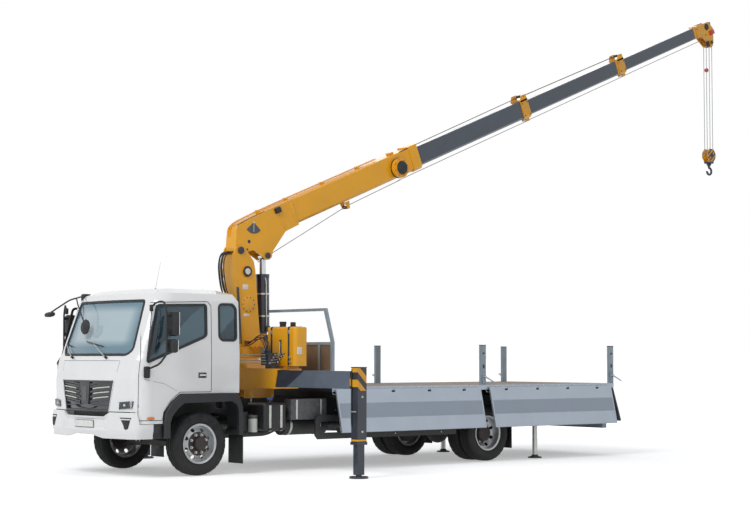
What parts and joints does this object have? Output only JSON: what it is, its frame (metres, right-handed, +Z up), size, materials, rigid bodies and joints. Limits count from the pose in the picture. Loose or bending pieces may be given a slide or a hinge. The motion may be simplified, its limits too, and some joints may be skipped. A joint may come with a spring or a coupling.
{
  "type": "truck-mounted crane",
  "caption": "Two-axle flatbed lorry with a white cab, a telescopic crane behind it, folding bed sides, outriggers and rear jacks.",
  "frame": {"origin": "on the ground below the middle of the front axle", "axes": "+X forward, +Y to the vehicle's left, +Z up"},
  "size_m": [13.3199, 5.63, 7.7825],
  "materials": {
    "white_paint": "gloss",
    "yellow_paint": "gloss",
    "navy_paint": "satin",
    "grey_paint": "satin",
    "black_paint": "satin",
    "black_plastic": "moulded",
    "tyre_rubber": "moulded",
    "steel": "bare",
    "aluminium": "anodised",
    "glass": "tinted",
    "lamp_glass": "clear",
    "interior": "grained",
    "cast": "painted black",
    "chrome": "polished"
  },
  "bodies": {
    "chassis": {"frame_rails": "black_paint", "front_axle": "cast", "rear_axle": "cast", "powertrain": "cast", "cab_shell": "white_paint", "cab_glass": "glass", "grille": "black_plastic", "bumper": "white_paint", "headlamps": "lamp_glass", "front_mudguards": "black_plastic", "cab_interior": "interior", "side_tanks": "black_paint", "side_guards": "aluminium", "bed_floor": "grey_paint", "headboard": "grey_paint", "rear_mudguards": "black_plastic", "rear_underrun": "grey_paint", "crane_base": "yellow_paint", "outrigger_housing": "yellow_paint", "oil_tank": "yellow_paint", "valve_bank": "black_paint", "rear_jack_tubes": "navy_paint"},
    "door_left": {"door_left": "white_paint", "door_glass_left": "glass", "mirrors_left": "black_plastic"},
    "knuckle_left": {"knuckle_left": "cast"},
    "wheel_front_left": {"tyre_front_left": "tyre_rubber", "rim_front_left": "steel"},
    "wheel_rear_left": {"tyres_rear_left": "tyre_rubber", "rims_rear_left": "steel"},
    "gate_front_left": {"gate_front_left": "aluminium"},
    "gate_rear_left": {"gate_rear_left": "aluminium"},
    "outrigger_beam_left": {"outrigger_beam_left": "navy_paint"},
    "outrigger_foot_left": {"outrigger_foot_left": "steel"},
    "rear_jack_foot_left": {"rear_jack_foot_left": "steel"},
    "door_right": {"door_right": "white_paint", "door_glass_right": "glass", "mirrors_right": "black_plastic"},
    "knuckle_right": {"knuckle_right": "cast"},
    "wheel_front_right": {"tyre_front_right": "tyre_rubber", "rim_front_right": "steel"},
    "wheel_rear_right": {"tyres_rear_right": "tyre_rubber", "rims_rear_right": "steel"},
    "gate_front_right": {"gate_front_right": "aluminium"},
    "gate_rear_right": {"gate_rear_right": "aluminium"},
    "outrigger_beam_right": {"outrigger_beam_right": "navy_paint"},
    "outrigger_foot_right": {"outrigger_foot_right": "steel"},
    "rear_jack_foot_right": {"rear_jack_foot_right": "steel"},
    "tailgate": {"tailgate": "aluminium"},
    "column": {"column": "yellow_paint"},
    "boom_1": {"boom_1": "yellow_paint"},
    "boom_2": {"boom_2": "navy_paint"},
    "boom_3": {"boom_3": "navy_paint"},
    "boom_4": {"boom_4": "navy_paint"},
    "lift_barrel": {"lift_barrel": "navy_paint"},
    "lift_rod": {"lift_rod": "chrome"},
    "hook_falls": {"hook_falls": "steel"},
    "hook_block": {"hook_block": "yellow_paint"}
  },
  "joints": [
    {"name": "door_left_hinge", "type": "hinge", "parent": "chassis", "child": "door_left", "pos_m": [0.96, 1.024, 1.3], "axis": [0, 0, -1], "range_deg": [0, 65]},
    {"name": "steer_left", "type": "hinge", "parent": "chassis", "child": "knuckle_left", "pos_m": [0, 0.72, 0.42], "axis": [0, 0, 1], "range_deg": [-35, 35]},
    {"name": "wheel_front_left_spin", "type": "hinge", "parent": "knuckle_left", "child": "wheel_front_left", "pos_m": [0, 0.905, 0.4195], "axis": [0, 1, 0], "continuous": true},
    {"name": "wheel_rear_left_spin", "type": "hinge", "parent": "chassis", "child": "wheel_rear_left", "pos_m": [-5.18, 0.9, 0.4195], "axis": [0, 1, 0], "continuous": true},
    {"name": "gate_front_left_hinge", "type": "hinge", "parent": "chassis", "child": "gate_front_left", "pos_m": [-3.4915, 1.264, 1.102], "axis": [1, 0, 0], "range_deg": [0, 165]},
    {"name": "gate_rear_left_hinge", "type": "hinge", "parent": "chassis", "child": "gate_rear_left", "pos_m": [-6.447, 1.264, 1.102], "axis": [1, 0, 0], "range_deg": [0, 165]},
    {"name": "outrigger_left_reach", "type": "slide", "parent": "chassis", "child": "outrigger_beam_left", "axis": [0, -1, 0], "range_m": [0, 1.5]},
    {"name": "outrigger_left_lift", "type": "slide", "parent": "outrigger_beam_left", "child": "outrigger_foot_left", "axis": [0, 0, 1], "range_m": [0, 0.4]},
    {"name": "rear_jack_left_lift", "type": "slide", "parent": "chassis", "child": "rear_jack_foot_left", "axis": [0, 0, 1], "range_m": [0, 0.33]},
    {"name": "door_right_hinge", "type": "hinge", "parent": "chassis", "child": "door_right", "pos_m": [0.96, -1.024, 1.3], "axis": [0, 0, 1], "range_deg": [0, 65]},
    {"name": "steer_right", "type": "hinge", "parent": "chassis", "child": "knuckle_right", "pos_m": [0, -0.72, 0.42], "axis": [0, 0, 1], "range_deg": [-35, 35]},
    {"name": "wheel_front_right_spin", "type": "hinge", "parent": "knuckle_right", "child": "wheel_front_right", "pos_m": [0, -0.905, 0.4195], "axis": [0, 1, 0], "continuous": true},
    {"name": "wheel_rear_right_spin", "type": "hinge", "parent": "chassis", "child": "wheel_rear_right", "pos_m": [-5.18, -0.9, 0.4195], "axis": [0, 1, 0], "continuous": true},
    {"name": "gate_front_right_hinge", "type": "hinge", "parent": "chassis", "child": "gate_front_right", "pos_m": [-3.4915, -1.264, 1.102], "axis": [-1, 0, 0], "range_deg": [0, 165]},
    {"name": "gate_rear_right_hinge", "type": "hinge", "parent": "chassis", "child": "gate_rear_right", "pos_m": [-6.447, -1.264, 1.102], "axis": [-1, 0, 0], "range_deg": [0, 165]},
    {"name": "outrigger_right_reach", "type": "slide", "parent": "chassis", "child": "outrigger_beam_right", "axis": [0, 1, 0], "range_m": [0, 1.5]},
    {"name": "outrigger_right_lift", "type": "slide", "parent": "outrigger_beam_right", "child": "outrigger_foot_right", "axis": [0, 0, 1], "range_m": [0, 0.4]},
    {"name": "rear_jack_right_lift", "type": "slide", "parent": "chassis", "child": "rear_jack_foot_right", "axis": [0, 0, 1], "range_m": [0, 0.33]},
    {"name": "tailgate_hinge", "type": "hinge", "parent": "chassis", "child": "tailgate", "pos_m": [-7.944, 0, 1.102], "axis": [0, 1, 0], "range_deg": [0, 160]},
    {"name": "slew", "type": "hinge", "parent": "chassis", "child": "column", "pos_m": [-1.43, 0, 1.64], "axis": [0, 0, 1], "continuous": true},
    {"name": "luff", "type": "hinge", "parent": "column", "child": "boom_1", "pos_m": [-1.261, 0, 3.071], "axis": [0, 1, 0], "range_deg": [-22.5, 52.5]},
    {"name": "telescope_2", "type": "slide", "parent": "boom_1", "child": "boom_2", "axis": [0.9239, 0, -0.3827], "range_m": [0, 2.15]},
    {"name": "telescope_3", "type": "slide", "parent": "boom_2", "child": "boom_3", "axis": [0.9239, 0, -0.3827], "range_m": [0, 2.15]},
    {"name": "telescope_4", "type": "slide", "parent": "boom_3", "child": "boom_4", "axis": [0.9239, 0, -0.3827], "range_m": [0, 2.15]},
    {"name": "hook_hang", "type": "hinge", "parent": "boom_4", "child": "hook_falls", "pos_m": [-12.0201, 0, 7.4085], "axis": [0, 1, 0], "range_deg": [-53, 23]},
    {"name": "hoist", "type": "slide", "parent": "hook_falls", "child": "hook_block", "axis": [0, 0, 1], "range_m": [0, 1.3], "deforming": ["hook_falls"]},
    {"name": "lift_barrel_tilt", "type": "hinge", "parent": "column", "child": "lift_barrel", "pos_m": [-1.77, 0, 1.84], "axis": [0, 1, 0], "range_deg": [-8, 8]},
    {"name": "lift_rod_stroke", "type": "slide", "parent": "lift_barrel", "child": "lift_rod", "axis": [0.015, 0, 0.9999], "range_m": [-0.19, 0.44]}
  ],
  "couplings": [
    {"joint": "steer_right", "follows": "steer_left", "ratio": 1},
    {"joint": "telescope_3", "follows": "telescope_2", "ratio": 1},
    {"joint": "telescope_4", "follows": "telescope_2", "ratio": 1},
    {"joint": "hook_hang", "follows": "luff", "ratio": -1},
    {"joint": "lift_barrel_tilt", "follows": "luff", "ratio": 0.05},
    {"joint": "lift_rod_stroke", "follows": "luff", "m_per_rad": 0.458}
  ]
}
